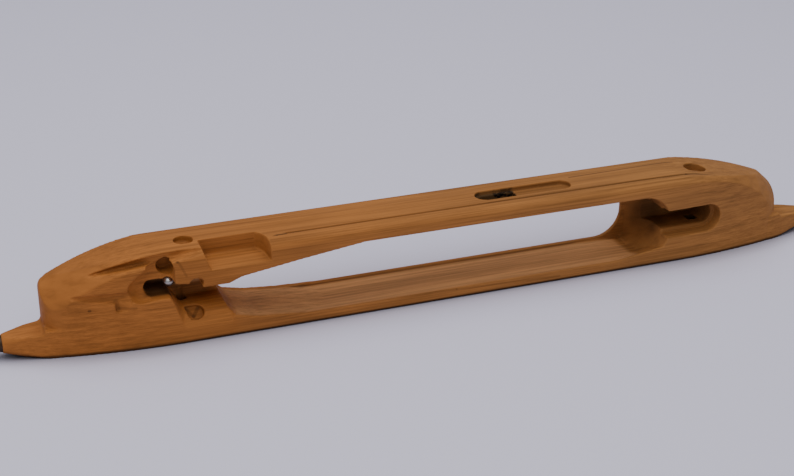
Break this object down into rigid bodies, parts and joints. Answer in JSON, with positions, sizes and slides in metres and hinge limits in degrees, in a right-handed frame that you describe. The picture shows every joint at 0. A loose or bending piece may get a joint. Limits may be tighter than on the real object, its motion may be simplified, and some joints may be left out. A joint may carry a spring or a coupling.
{
  "type": "weaving shuttle",
  "caption": "Stripped boat-shaped wooden loom shuttle with a long pirn chamber, clamp slot, yarn eye slot with its steel peg, and steel-tipped noses.",
  "frame": {"origin": "centre of the flat back wall that the shuttle stands on, halfway between the two steel points", "axes": "+X along the shuttle from the eye end to the clamp end, -Y out of the open front that the pirn goes in through, +Z from the back wall up to the grooved front wall"},
  "size_m": [0.443, 0.032, 0.045],
  "materials": {
    "hardwood": "satin",
    "tip_steel": "worn",
    "peg_steel": "polished"
  },
  "bodies": {
    "root": {"shuttle_body": "hardwood", "left_tip": "tip_steel", "right_tip": "tip_steel", "guide_peg": "peg_steel"}
  },
  "joints": []
}
